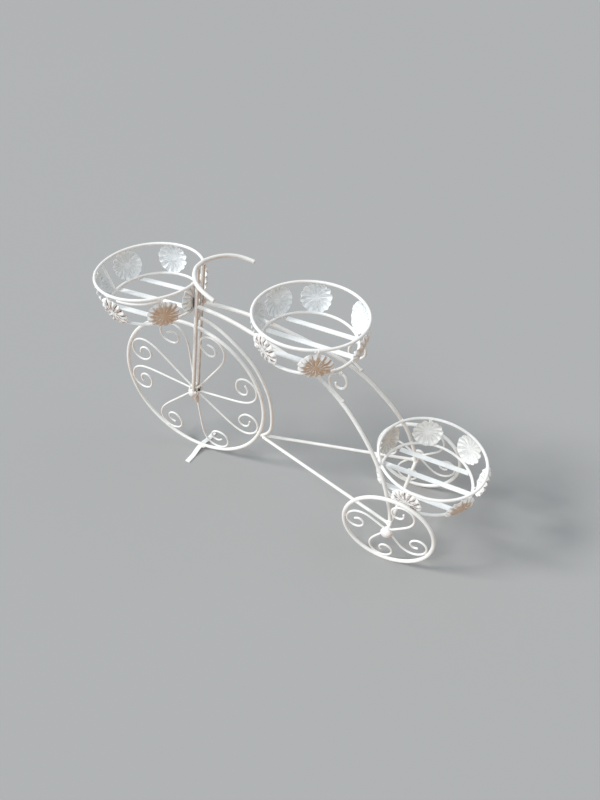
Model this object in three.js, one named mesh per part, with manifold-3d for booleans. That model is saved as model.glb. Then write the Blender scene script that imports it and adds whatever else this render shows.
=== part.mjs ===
// Bicycle planter: a welded steel-wire tricycle that carries three round pot
// baskets. Millimetres, +Z up, the ground is z = 0. The bicycle points to -X,
// so its left-hand side is -Y and its right-hand side is +Y.
import * as THREE from 'three';
import { mergeVertices } from 'three/addons/utils/BufferGeometryUtils.js';
import Module from 'manifold-3d';

const wasm = await Module();
wasm.setup();
const { Manifold, Mesh: SolidMesh } = wasm;

// ---------------------------------------------------------------- dimensions
const GAP = 0.3;                 // clearance kept between pieces that touch

// front wheel
const WHEEL_X = 4.0;             // centre of the front wheel
const WHEEL_Z = 193.6;
const RIM_R = 178.0;             // centre line of the rim rod, on average
const WIDE = 174.5 / RIM_R;      // the wheel is a little out of round: narrower
const TALL = 180.8 / RIM_R;      // along the bicycle, and taller
const RIM_ROD = 4.0;             // radius of the rim rod
const SPOKE_ROD = 2.25;          // radius of the scroll wire
const HUB_R = 11.0;
const HUB_HALF = 5.0;
const HUB_BACK = 3.7;           // the hub sits a little behind the rim's centre
const BORE_R = 4.45;
const AXLE_R = 4.0;
const FRONT_AXLE_HALF = 17.0;
const FRONT_CAP_R = 9.0;
const FRONT_CAP_H = 6.2;
// where each scroll spoke leaves the hub, degrees from +X towards +Z
const FRONT_SPOKES = [2.7, 50.0, 88.5, 134.0, 169.8, 221.4, 273.3, 321.3];

// fork and handlebar
const FORK_Y = 9.5;
const FORK_ROD = 4.0;
const FORK_X = 7.6;              // the fork's line at the height of the axle
const FORK_SLOPE = 0.1698;       // rake: x gained for each mm of height
const FORK_TOP = 514.9;
const BAR_ROD = 4.0;

// rear wheels
const REAR_X = 504.5;
const REAR_Z = 96.0;
const TRACK_HALF = 108.0;
const REAR_RIM_R = 92.0;
const REAR_HUB_R = 8.0;
const REAR_HUB_HALF = 4.0;
const REAR_CAP_R = 11.5;
const REAR_CAP_H = 10.0;
const LEFT_SPOKES = [40.0, 150.5, 235.7, 312.6];
const RIGHT_SPOKES = [38.5, 150.0, 228.0, 320.5];

// baskets
const RING_ROD = 3.0;
const TOP_R = 105.0;
const BOTTOM_R = 92.0;
const RISE = 61.6;               // height of the top ring over the bottom ring
const SLAT_W = 12.0;
const SLAT_T = 2.4;
const SLAT_Y = [-52.0, 0.0, 52.0];
const FLOWER_R = 31.0;
const FLOWER_T = 1.2;
const SCALLOPS = 14;
const FLOWER_DOME = 2.0;

// frame
const FRAME_ROD = 4.0;
const STAY_ROD = 3.5;
const GUARD_ROD = 3.5;
const BRACE_ROD = 2.5;
const GUARD_Y = 0;

// foot strap under the front wheel
const FOOT_W = 12.0;
const FOOT_T = 2.6;
const FOOT_HALF = 56.0;
const FOOT_PAD = 37.0;
const FOOT_YAW = 4.55;
const FOOT_X = -2.2;

// ------------------------------------------------------------------- finish
const enamel = (color, roughness) =>
  new THREE.MeshStandardMaterial({ color, roughness, metalness: 0.0 });

// ------------------------------------------------------------------ helpers
const V = (x, y, z) => new THREE.Vector3(x, y, z);

function section(radius, sides) {
  const pts = [];
  for (let i = 0; i < sides; i++) {
    const a = (2 * Math.PI * (i + 0.5)) / sides;
    pts.push(new THREE.Vector2(radius * Math.cos(a), radius * Math.sin(a)));
  }
  return new THREE.Shape(pts);
}

// a bent round rod along a smooth line through the points
function bentRod(points, radius, sides, steps) {
  const path = new THREE.CatmullRomCurve3(points, false, 'centripetal');
  path.arcLengthDivisions = 600;
  return new THREE.ExtrudeGeometry(section(radius, sides), {
    steps, bevelEnabled: false, extrudePath: path,
  });
}

// a straight round rod between two points
function straightRod(a, b, radius, sides) {
  const dir = b.clone().sub(a);
  const g = new THREE.CylinderGeometry(radius, radius, dir.length(), sides, 1, false);
  const q = new THREE.Quaternion().setFromUnitVectors(V(0, 1, 0), dir.clone().normalize());
  g.applyQuaternion(q);
  g.translate((a.x + b.x) / 2, (a.y + b.y) / 2, (a.z + b.z) / 2);
  return g;
}

// a closed round ring about the Y axis (wheels) or the Z axis (baskets)
function ring(radius, rod, sides, segments, axis) {
  const g = new THREE.TorusGeometry(radius, rod, sides, segments);
  if (axis === 'y') g.rotateX(Math.PI / 2);
  return g;
}

function toSolid(geometry) {
  const bare = new THREE.BufferGeometry();
  bare.setAttribute('position', geometry.getAttribute('position').clone());
  if (geometry.index) bare.setIndex(geometry.index.clone());
  const g = mergeVertices(bare, 1e-4);
  const m = new SolidMesh({
    numProp: 3,
    vertProperties: new Float32Array(g.getAttribute('position').array),
    triVerts: new Uint32Array(g.index.array),
  });
  m.merge();
  return new Manifold(m);
}

function fromSolid(solid) {
  const m = solid.getMesh();
  const g = new THREE.BufferGeometry();
  g.setAttribute('position', new THREE.BufferAttribute(new Float32Array(m.vertProperties), 3));
  g.setIndex(new THREE.BufferAttribute(new Uint32Array(m.triVerts), 1));
  g.computeVertexNormals();
  return g;
}

function unite(geometries) {
  let out = null;
  for (const g of geometries) {
    const s = toSolid(g);
    out = out ? out.add(s) : s;
  }
  return fromSolid(out);
}

function node(parent, name, geometry, material) {
  const m = new THREE.Mesh(geometry, material);
  m.name = name;
  parent.add(m);
  return m;
}

// ------------------------------------------------------- scroll spoke shapes
// polar points (radius, degrees from the spoke's own direction), hub to curl
const FRONT_SCROLL = [
  [8, 0], [40, 0], [80, 0], [112, 0.2], [130, 1.0], [146, 2.9], [159, 6.2],
  [168, 11], [171, 16.5], [166.5, 22], [154, 26.3], [137, 26.8], [124.8, 22],
  [122.5, 15], [131, 11], [142.5, 11.6], [149, 15.6], [147.5, 20.2],
];
const REAR_SCROLL = [
  [6, -1], [22, -1], [40, -1], [52, 0.4], [63, 4], [74, 10.5], [81.8, 19],
  [85, 28], [83, 37], [76, 44.3], [65.5, 48.3], [55, 45.5], [50, 36],
  [53.5, 27.2], [61.5, 24.8], [68.5, 28.5],
];

function scrollRod(shape, angle, steps, wide, tall, back) {
  const out = THREE.MathUtils.degToRad(angle);
  const turn = Math.atan2(Math.sin(out) / tall, Math.cos(out) / wide);
  const pts = shape.map(([r, a]) => {
    const t = turn + THREE.MathUtils.degToRad(a);
    return V(r * wide * Math.cos(t) + back * Math.max(0, 1 - r / 150), 0, r * tall * Math.sin(t));
  });
  return bentRod(pts, SPOKE_ROD, 6, steps);
}

// hub tube about the Y axis with the scroll spokes welded into it; the scrolls
// follow a rim that is out of round by the factors wide and tall
function spokeSet(shape, angles, hubR, hubHalf, steps, wide = 1, tall = 1, back = 0) {
  const c = Math.min(2, hubHalf * 0.4);
  const profile = [
    [BORE_R, -hubHalf], [hubR - c, -hubHalf], [hubR, -hubHalf + c], [hubR, hubHalf - c],
    [hubR - c, hubHalf], [BORE_R, hubHalf], [BORE_R, -hubHalf],
  ].map(([r, h]) => new THREE.Vector2(r, h));
  const hub = new THREE.LatheGeometry(profile, 16);
  hub.translate(back, 0, 0);
  return unite([hub, ...angles.map((a) => scrollRod(shape, a, steps, wide, tall, back))]);
}

// domed cap on an axle end: a blind bore faces -Y*side, the dome faces outwards
function domeCap(radius, height, side) {
  const bore = 3.6;
  const pts = [[0, bore], [BORE_R, bore], [BORE_R, 0], [radius * 0.93, 0], [radius, height * 0.16]];
  for (let i = 1; i <= 4; i++) {
    const t = (i / 4) * (Math.PI / 2);
    pts.push([radius * Math.cos(t), height * 0.16 + height * 0.84 * Math.sin(t)]);
  }
  pts[pts.length - 1][0] = 0;
  pts.push([0, bore]);
  const g = new THREE.LatheGeometry(pts.map(([r, h]) => new THREE.Vector2(Math.max(r, 0), h)), 12);
  if (side < 0) g.rotateX(Math.PI);
  return g;
}

// ------------------------------------------------------------------ flowers
// stamped sheet flower in its own frame: x across, y up the basket wall, z out
function flowerGeometry() {
  const n = SCALLOPS * 2;
  const outer = [];
  for (let i = 0; i < n; i++) {
    const a = Math.PI / 2 + (2 * Math.PI * i) / n;
    let r = i % 2 === 0 ? FLOWER_R : FLOWER_R * 0.93;
    const z = i % 2 === 0 ? 0.6 : 0.0;
    if (i === 0) r = FLOWER_R + 2.2;                 // tab that meets the top ring
    outer.push([r * Math.cos(a), r * Math.sin(a), i === 0 ? 0 : z]);
  }
  const inner = [];
  for (let i = 0; i < SCALLOPS; i++) {
    const a = Math.PI / 2 + (2 * Math.PI * i) / SCALLOPS;
    inner.push([FLOWER_R * 0.42 * Math.cos(a), FLOWER_R * 0.42 * Math.sin(a), FLOWER_DOME]);
  }
  const centre = [0, 0, FLOWER_DOME * 0.7];
  const pos = [];
  const idx = [];
  const layer = (dz) => {
    const base = pos.length / 3;
    for (const p of outer) pos.push(p[0], p[1], p[2] + dz);
    for (const p of inner) pos.push(p[0], p[1], p[2] + dz);
    pos.push(centre[0], centre[1], centre[2] + dz);
    return base;
  };
  const face = (b, flip) => {
    const tri = (i, j, k) => (flip ? idx.push(b + i, b + k, b + j) : idx.push(b + i, b + j, b + k));
    for (let s = 0; s < SCALLOPS; s++) {
      const o0 = 2 * s, o1 = 2 * s + 1, o2 = (2 * s + 2) % n;
      const i0 = n + s, i1 = n + ((s + 1) % SCALLOPS);
      tri(o0, o1, i0);
      tri(o1, i1, i0);
      tri(o1, o2, i1);
      tri(i0, i1, n + SCALLOPS);
    }
  };
  const back = layer(0);
  const front = layer(FLOWER_T);
  face(front, false);
  face(back, true);
  for (let i = 0; i < n; i++) {
    const j = (i + 1) % n;
    idx.push(back + i, back + j, front + j, back + i, front + j, front + i);
  }
  const g = new THREE.BufferGeometry();
  g.setAttribute('position', new THREE.Float32BufferAttribute(pos, 3));
  g.setIndex(idx);
  g.computeVertexNormals();
  return g;
}

// ------------------------------------------------------------------ baskets
// name, bottom ring centre, lean and roll in degrees, top radius, bottom radius,
// how far the slats sit off centre, and the flowers: angle, share of the wall's
// height that the centre is at, stand-off from the rings, 1 if inside the rings
const BASKETS = [
  { name: 'front', x: -55.0, z: 418.3, lean: -1.0, roll: 1.6, top: TOP_R, bottom: BOTTOM_R, slatX: 0,
    flowers: [[38, 0.5, 0, 0], [101.5, 0.5, 0, 0], [156, 0.47, 0, 0], [207, 0.42, 0, 0],
      [258.5, 0.385, 0, 0], [316, 0.38, 0, 0], [356, 0.46, 0, 1]] },
  { name: 'middle', x: 282.4, z: 415.0, lean: 2.2, roll: 0, top: TOP_R, bottom: BOTTOM_R, slatX: 2.6,
    flowers: [[358, 0.42, 0, 0], [47, 0.49, 0, 0], [107, 0.46, 0, 0], [150, 0.47, 0, 0],
      [187, 0.47, 0, 0], [244, 0.485, 0, 0], [299.5, 0.4, 0, 0]] },
  { name: 'rear', x: 543.6, z: 160.7, lean: 2.2, roll: 0, top: 104.5, bottom: 91.5, slatX: 2.0,
    flowers: [[7, 0.485, 3, 0], [53.5, 0.5, 0, 0], [107.5, 0.46, 0, 1], [158.5, 0.44, 0, 0],
      [205, 0.42, 0, 0], [260, 0.47, 0, 0], [320, 0.425, 0.4, 0]] },
];

// puts a basket's frame in place: rolled about X first, then leaned about Y
function stand(g, spec) {
  g.position.set(spec.x, 0, spec.z);
  g.rotation.set(THREE.MathUtils.degToRad(spec.roll), THREE.MathUtils.degToRad(spec.lean), 0, 'YXZ');
}

function basket(spec, mat, flowerMat, slatMat) {
  const g = new THREE.Group();
  stand(g, spec);
  node(g, `${spec.name}_basket_bottom_ring`, ring(spec.bottom, RING_ROD, 6, 36, 'z'), mat);
  const top = node(g, `${spec.name}_basket_top_ring`, ring(spec.top, RING_ROD, 6, 36, 'z'), mat);
  top.position.z = RISE;
  const side = ['left', 'middle', 'right'];
  SLAT_Y.forEach((y, i) => {
    const reach = Math.sqrt(spec.bottom ** 2 - (Math.abs(y) + SLAT_W / 2) ** 2) + RING_ROD * 0.6;
    const back = spec.slatX - reach;
    const front = Math.min(spec.slatX + reach, spec.bottom + 1.8);
    const s = node(g, `${spec.name}_basket_slat_${side[i]}`,
      new THREE.BoxGeometry(front - back, SLAT_W, SLAT_T), slatMat);
    s.position.set((front + back) / 2, y, -(RING_ROD + GAP + SLAT_T / 2));
  });
  const slant = Math.hypot(spec.top - spec.bottom, RISE);
  const lift = Math.asin((spec.top - spec.bottom) / slant);
  spec.flowers.forEach(([deg, share, stand_, inside], i) => {
    const arm = new THREE.Group();
    arm.rotation.z = THREE.MathUtils.degToRad(deg);
    const f = node(arm, `${spec.name}_basket_flower_${i + 1}`, flowerGeometry(), flowerMat);
    const off = inside ? -(RING_ROD + GAP + 1.0) : RING_ROD + GAP + stand_;
    // wall frame: u up the wall, n outwards, t across
    const s = slant * share;
    const u = V(Math.sin(lift), 0, Math.cos(lift));
    const n = V(Math.cos(lift), 0, -Math.sin(lift));
    const out = inside ? n.clone().negate() : n;
    const t = u.clone().cross(out);
    const m = new THREE.Matrix4().makeBasis(t, u, out);
    f.quaternion.setFromRotationMatrix(m);
    f.position.set(spec.bottom + u.x * s + n.x * off, 0, u.z * s + n.z * off);
    g.add(arm);
  });
  return g;
}

// --------------------------------------------------------------------- build
const white = enamel(0xf2f1ec, 0.34);
const whiteFrame = enamel(0xf0eee8, 0.34);
const whiteFlower = enamel(0xe9e8e4, 0.42);
const whiteSlat = enamel(0xe6edf2, 0.32);
const warmFork = enamel(0xe6ddd2, 0.38);

const group = new THREE.Group();
group.name = 'bicycle_planter';
const model = new THREE.Group();
group.add(model);

// front wheel
const frontWheel = new THREE.Group();
frontWheel.position.set(WHEEL_X, 0, WHEEL_Z);
model.add(frontWheel);
node(frontWheel, 'front_wheel_rim', ring(RIM_R, RIM_ROD, 8, 48, 'y').scale(WIDE, 1, TALL), white);
node(frontWheel, 'front_wheel_spokes',
  spokeSet(FRONT_SCROLL, FRONT_SPOKES, HUB_R, HUB_HALF, 23, WIDE, TALL, HUB_BACK), white);
node(frontWheel, 'front_axle',
  straightRod(V(HUB_BACK, -FRONT_AXLE_HALF, 0), V(HUB_BACK, FRONT_AXLE_HALF, 0), AXLE_R, 12), white);
for (const [side, s] of [['left', -1], ['right', 1]]) {
  const cap = node(frontWheel, `front_axle_cap_${side}`, domeCap(FRONT_CAP_R, FRONT_CAP_H, s), white);
  cap.position.set(HUB_BACK, s * (FORK_Y + FORK_ROD + GAP), 0);
}

// fork rods stand on the front axle and rake back to the handlebar
const forkX = (z) => FORK_X + FORK_SLOPE * (z - WHEEL_Z);
for (const [side, s] of [['left', -1], ['right', 1]]) {
  const z0 = WHEEL_Z + AXLE_R + GAP + 0.75;
  node(model, `fork_rod_${side}`,
    straightRod(V(forkX(z0), s * FORK_Y, z0), V(forkX(FORK_TOP), s * FORK_Y, FORK_TOP), FORK_ROD, 10),
    warmFork);
}

// handlebar: an open bow that lies across the tops of the fork rods, its ends
// dropping back towards the rider
const BAR_FRONT_X = 61.3;
const barZ = (dx) => 520.2 - 0.081 * dx - 12.55 * (dx / 81.5) ** 2;
const BAR_HALF = [
  [0, 0], [0.4, 11.4], [4.0, 22.7], [9.8, 34.6], [17.4, 45.4], [25.9, 54.7],
  [34.8, 61.4], [44.7, 66.9], [55.4, 70.6], [64.3, 72.9], [72.8, 74.5],
];
const barPts = [
  ...BAR_HALF.slice(1).reverse().map(([x, y]) => [x, -y]),
  ...BAR_HALF.map(([x, y]) => [x, y]),
].map(([x, y]) => V(BAR_FRONT_X + x, y, barZ(x)));
node(model, 'handlebar', bentRod(barPts, BAR_ROD, 8, 26), white);

// main frame rods: from the fork head, under the middle basket, down past the
// rear basket to the rear axle, spreading apart on the way
const FRAME_PATH = [
  [53.0, 9.5, 431.4], [96.5, 13.8, 428.8], [134, 18.0, 424.0], [170, 22.3, 416.6],
  [210, 26.3, 406.2], [250, 30.0, 393.8], [285, 33.4, 381.8], [318, 37.0, 368.3],
  [349, 43.0, 350.4], [384, 50.8, 322.6], [412, 57.2, 291.8], [440, 65.0, 256.0],
  [458, 70.8, 227.6], [475, 76.8, 195.6], [489, 82.0, 157.6], [497.5, 85.4, 130],
  [503.5, 87.9, 100.7],
];
// the rod that runs round the back of the front wheel like a mudguard
const GUARD_PATH = [
  [44.1, 399.2], [61.7, 394.2], [82.2, 384.9], [109.6, 366.1], [135.6, 342.8], [161.0, 314.3],
  [180.4, 278.9], [192.4, 245.0], [196.9, 219.7], [198.4, 190.2], [197.2, 162.1],
  [192.2, 141.5], [183.0, 128.0], [171.0, 118.6],
];
for (const [side, s] of [['left', -1], ['right', 1]]) {
  node(model, `frame_rod_${side}`,
    bentRod(FRAME_PATH.map(([x, y, z]) => V(x, s * y, z)), FRAME_ROD, 8, 22), whiteFrame);
}
node(model, 'mudguard_rod',
  bentRod(GUARD_PATH.map(([x, z]) => V(x, GUARD_Y, z)), GUARD_ROD, 8, 24), whiteFrame);

// lower stays: from the foot of the mudguard rod back to the rear axle
for (const [side, s] of [['left', -1], ['right', 1]]) {
  node(model, `stay_${side}`,
    straightRod(V(180.0, s * 4.3, 116.4), V(499.0, s * 91.9, 97.6), STAY_ROD, 8), whiteFrame);
}

// scroll braces that prop the back of the middle basket on the frame rods
const BRACE_PATH = [
  [373.0, 340.6], [364.8, 348.2], [355.3, 356.8], [347.6, 367.2], [344.3, 380.1],
  [345.9, 392.6], [352.7, 401.3], [362.7, 404.1], [372.3, 399.3], [377.1, 388.6],
  [375.7, 376.6], [368.2, 369.4], [359.7, 371.2], [356.5, 379.6],
];
for (const [side, s] of [['left', -1], ['right', 1]]) {
  node(model, `scroll_brace_${side}`,
    bentRod(BRACE_PATH.map(([x, z]) => V(x, s * 48.6, z)), BRACE_ROD, 6, 26), white);
}

// rear axle, wheels and the domed caps on the axle's ends
const AXLE_HALF = TRACK_HALF + REAR_HUB_HALF + GAP + 3.2;
node(model, 'rear_axle',
  straightRod(V(REAR_X, -AXLE_HALF, REAR_Z), V(REAR_X, AXLE_HALF, REAR_Z), AXLE_R, 12), whiteFrame);
for (const [side, s, spokes] of [['left', -1, LEFT_SPOKES], ['right', 1, RIGHT_SPOKES]]) {
  const wheel = new THREE.Group();
  wheel.position.set(REAR_X, s * TRACK_HALF, REAR_Z);
  model.add(wheel);
  node(wheel, `rear_wheel_rim_${side}`, ring(REAR_RIM_R, RIM_ROD, 8, 36, 'y'), white);
  node(wheel, `rear_wheel_spokes_${side}`,
    spokeSet(REAR_SCROLL, spokes, REAR_HUB_R, REAR_HUB_HALF, 22), white);
  const cap = node(wheel, `rear_axle_cap_${side}`, domeCap(REAR_CAP_R, REAR_CAP_H, s), white);
  cap.position.y = s * (REAR_HUB_HALF + GAP);
}

// flat arched strap welded under the front rim: the front foot
{
  const top = WHEEL_Z - (RIM_R + RIM_ROD) * TALL - GAP;       // highest point of the strap
  const arch = (y) => {
    const k = Math.min(Math.max((Math.abs(y) - 5) / (FOOT_PAD - 5), 0), 1);
    return (top - FOOT_T) * (0.5 + 0.5 * Math.cos(Math.PI * k));
  };
  const ys = [];
  for (let i = -12; i <= 12; i++) ys.push((FOOT_PAD * i) / 12);
  ys.unshift(-FOOT_HALF);
  ys.push(FOOT_HALF);
  const outline = new THREE.Shape();
  ys.forEach((y, i) => (i ? outline.lineTo(y, arch(y)) : outline.moveTo(y, arch(y))));
  [...ys].reverse().forEach((y) => outline.lineTo(y, arch(y) + FOOT_T));
  outline.closePath();
  const g = new THREE.ExtrudeGeometry(outline, { depth: FOOT_W, bevelEnabled: false });
  g.translate(0, 0, -FOOT_W / 2);
  g.rotateX(Math.PI / 2);
  g.rotateZ(Math.PI / 2 - THREE.MathUtils.degToRad(FOOT_YAW));
  g.translate(FOOT_X, 0, 0);
  node(model, 'front_foot', g, whiteSlat);
}

for (const spec of BASKETS) model.add(basket(spec, white, whiteFlower, whiteSlat));

// flat strut between the rings at the nose of the front basket
{
  const spec = BASKETS[0];
  const g = new THREE.Group();
  stand(g, spec);
  const arm = new THREE.Group();
  arm.rotation.z = THREE.MathUtils.degToRad(189);
  const slant = Math.hypot(spec.top - spec.bottom, RISE);
  const lift = Math.asin((spec.top - spec.bottom) / slant);
  const strut = node(arm, 'front_basket_strut',
    new THREE.BoxGeometry(2.0, 6.0, slant - 2 * RING_ROD - 2 * GAP - 0.6), whiteSlat);
  strut.rotation.y = lift;
  strut.position.set((spec.top + spec.bottom) / 2, 0, RISE / 2);
  g.add(arm);
  model.add(g);
}

// centre the whole stand over the origin, standing on z = 0
group.updateMatrixWorld(true);
const box = new THREE.Box3().setFromObject(group, true);
model.position.x = -(box.min.x + box.max.x) / 2;
model.position.y = -(box.min.y + box.max.y) / 2;
model.position.z = -box.min.z;
group.updateMatrixWorld(true);

export default group;
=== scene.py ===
"""Bicycle planter: welded steel rod, flat bar and stamped flowers under white enamel.

Metres, +Z up, the ground is z = 0. The bicycle points to -X. Numbers in the
drawing tables below are millimetres, with x measured from the front wheel, as
they were taken off the object; `row()` turns them into the part's own frame.
"""
import math

import bpy
import numpy as np
from mathutils import Matrix, Vector


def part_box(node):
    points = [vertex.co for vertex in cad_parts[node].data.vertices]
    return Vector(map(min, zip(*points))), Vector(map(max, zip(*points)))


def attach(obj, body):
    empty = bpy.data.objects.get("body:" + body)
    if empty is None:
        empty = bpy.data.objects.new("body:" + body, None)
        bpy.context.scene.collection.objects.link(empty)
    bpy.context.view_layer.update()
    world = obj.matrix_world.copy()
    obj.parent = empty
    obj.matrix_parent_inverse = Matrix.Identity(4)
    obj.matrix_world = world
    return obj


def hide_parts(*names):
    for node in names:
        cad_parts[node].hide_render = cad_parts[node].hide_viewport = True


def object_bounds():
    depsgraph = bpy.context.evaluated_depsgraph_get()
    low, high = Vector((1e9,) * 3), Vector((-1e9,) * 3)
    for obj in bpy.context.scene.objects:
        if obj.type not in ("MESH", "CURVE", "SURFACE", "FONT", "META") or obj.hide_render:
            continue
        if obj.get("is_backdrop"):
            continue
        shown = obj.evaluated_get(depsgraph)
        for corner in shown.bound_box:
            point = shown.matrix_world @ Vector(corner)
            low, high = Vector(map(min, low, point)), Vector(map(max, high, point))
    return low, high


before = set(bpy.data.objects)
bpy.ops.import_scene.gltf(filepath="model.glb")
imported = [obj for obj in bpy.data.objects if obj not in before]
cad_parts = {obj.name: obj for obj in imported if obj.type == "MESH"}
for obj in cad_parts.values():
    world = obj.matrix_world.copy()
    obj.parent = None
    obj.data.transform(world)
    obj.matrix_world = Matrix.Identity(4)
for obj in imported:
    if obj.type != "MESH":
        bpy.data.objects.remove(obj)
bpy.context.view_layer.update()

# ---------------------------------------------------------------- drawing frame
MM = 0.001
_a, _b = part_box("rear_axle")
REAR_X, REAR_Z = 504.5, 96.0
SHIFT = (_a.x + _b.x) / 2 / MM - REAR_X


def row(points):
    """Millimetres in the drawing frame to metres in the part's frame."""
    p = np.asarray(points, float)
    return (p + np.array([SHIFT, 0.0, 0.0])) * MM


# ------------------------------------------------------------------- dimensions
WHEEL_X, WHEEL_Z = 4.0, 193.6
RIM_R, RIM_ROD, SPOKE_ROD = 178.0, 4.0, 2.25
# the front wheel is a little out of round
WIDE, TALL = 174.5 / RIM_R, 180.8 / RIM_R
# and its hub sits a little behind the rim's centre
HUB_X = WHEEL_X + 3.7
HUB_R, HUB_HALF = 11.0, 5.0
FORK_Y, FORK_ROD, FORK_X, FORK_SLOPE, FORK_TOP = 9.5, 4.0, 7.6, 0.1698, 514.9
TRACK = 108.0
REAR_RIM_R = 92.0
FRONT_SPOKES = [2.7, 50.0, 88.5, 134.0, 169.8, 221.4, 273.3, 321.3]
LEFT_SPOKES = [40.0, 150.5, 235.7, 312.6]
RIGHT_SPOKES = [38.5, 150.0, 228.0, 320.5]
RING_ROD, RISE = 3.0, 61.6
SLAT_W, SLAT_T = 12.0, 2.4
SLAT_Y = [("left", -52.0), ("middle", 0.0), ("right", 52.0)]

FRONT_SCROLL = [
    (8, 0), (40, 0), (80, 0), (112, 0.2), (130, 1.0), (146, 2.9), (159, 6.2),
    (168, 11), (171, 16.5), (166.5, 22), (154, 26.3), (137, 26.8), (124.8, 22),
    (122.5, 15), (131, 11), (142.5, 11.6), (149, 15.6), (147.5, 20.2),
]
REAR_SCROLL = [
    (6, -1), (22, -1), (40, -1), (52, 0.4), (63, 4), (74, 10.5), (81.8, 19),
    (85, 28), (83, 37), (76, 44.3), (65.5, 48.3), (55, 45.5), (50, 36),
    (53.5, 27.2), (61.5, 24.8), (68.5, 28.5),
]
FRAME_PATH = [
    (53.0, 9.5, 431.4), (96.5, 13.8, 428.8), (134, 18.0, 424.0), (170, 22.3, 416.6),
    (210, 26.3, 406.2), (250, 30.0, 393.8), (285, 33.4, 381.8), (318, 37.0, 368.3),
    (349, 43.0, 350.4), (384, 50.8, 322.6), (412, 57.2, 291.8), (440, 65.0, 256.0),
    (458, 70.8, 227.6), (475, 76.8, 195.6), (489, 82.0, 157.6), (497.5, 85.4, 130),
    (503.5, 87.9, 100.7),
]
GUARD_PATH = [
    (44.1, 399.2), (61.7, 394.2), (82.2, 384.9), (109.6, 366.1), (135.6, 342.8), (161.0, 314.3),
    (180.4, 278.9), (192.4, 245.0), (196.9, 219.7), (198.4, 190.2), (197.2, 162.1),
    (192.2, 141.5), (183.0, 128.0), (171.0, 118.6),
]
BRACE_PATH = [
    (373.0, 340.6), (364.8, 348.2), (355.3, 356.8), (347.6, 367.2), (344.3, 380.1),
    (345.9, 392.6), (352.7, 401.3), (362.7, 404.1), (372.3, 399.3), (377.1, 388.6),
    (375.7, 376.6), (368.2, 369.4), (359.7, 371.2), (356.5, 379.6),
]
# name, ring centre x and z, lean and roll, top and bottom radius, how far the
# slats sit off centre, and the flowers: angle, share of the wall's height,
# stand-off from the rings, set inside the rings
BASKETS = [
    ("front", -55.0, 418.3, -1.0, 1.6, 105.0, 92.0, 0.0,
     [(38, .50, 0, 0), (101.5, .50, 0, 0), (156, .47, 0, 0), (207, .42, 0, 0), (258.5, .385, 0, 0), (316, .38, 0, 0), (356, .46, 0, 1)]),
    ("middle", 282.4, 415.0, 2.2, 0.0, 105.0, 92.0, 2.6,
     [(358, .42, 0, 0), (47, .49, 0, 0), (107, .46, 0, 0), (150, .47, 0, 0), (187, .47, 0, 0), (244, .485, 0, 0), (299.5, .40, 0, 0)]),
    ("rear", 543.6, 160.7, 2.2, 0.0, 104.5, 91.5, 2.0,
     [(7, .485, 3, 0), (53.5, .50, 0, 0), (107.5, .46, 0, 1), (158.5, .44, 0, 0), (205, .42, 0, 0), (260, .47, 0, 0), (320, .425, 0.4, 0)]),
]


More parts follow.
